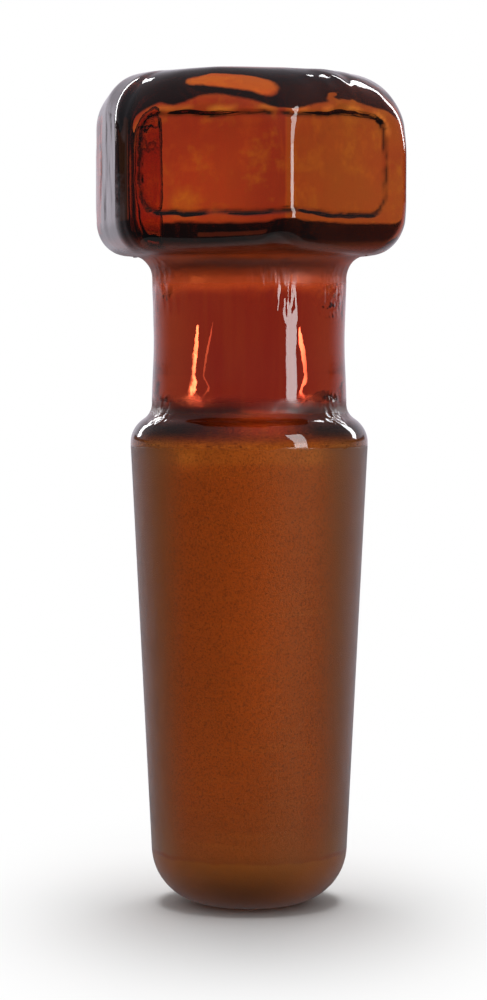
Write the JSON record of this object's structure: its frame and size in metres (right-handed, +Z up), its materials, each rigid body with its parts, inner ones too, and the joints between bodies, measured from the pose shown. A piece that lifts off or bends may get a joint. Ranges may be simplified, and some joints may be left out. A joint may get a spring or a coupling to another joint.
{
  "type": "glass stopper",
  "caption": "Solid amber glass stopper with a rounded hexagonal head, a waisted neck, a rolled shoulder and a 1 in 10 ground cone that closes a tapered glass neck.",
  "frame": {"origin": "centre of the flat foot, on the surface that the stopper stands on", "axes": "+Z up the stopper's axis to the head; the head's flats face +Y and -Y, and two of its upright edges lie on the X axis"},
  "size_m": [0.0172, 0.015, 0.0437],
  "materials": {
    "amber_glass": "pressed and fire-polished, with a finely ground cone"
  },
  "bodies": {
    "root": {"stopper": "amber_glass"}
  },
  "joints": []
}
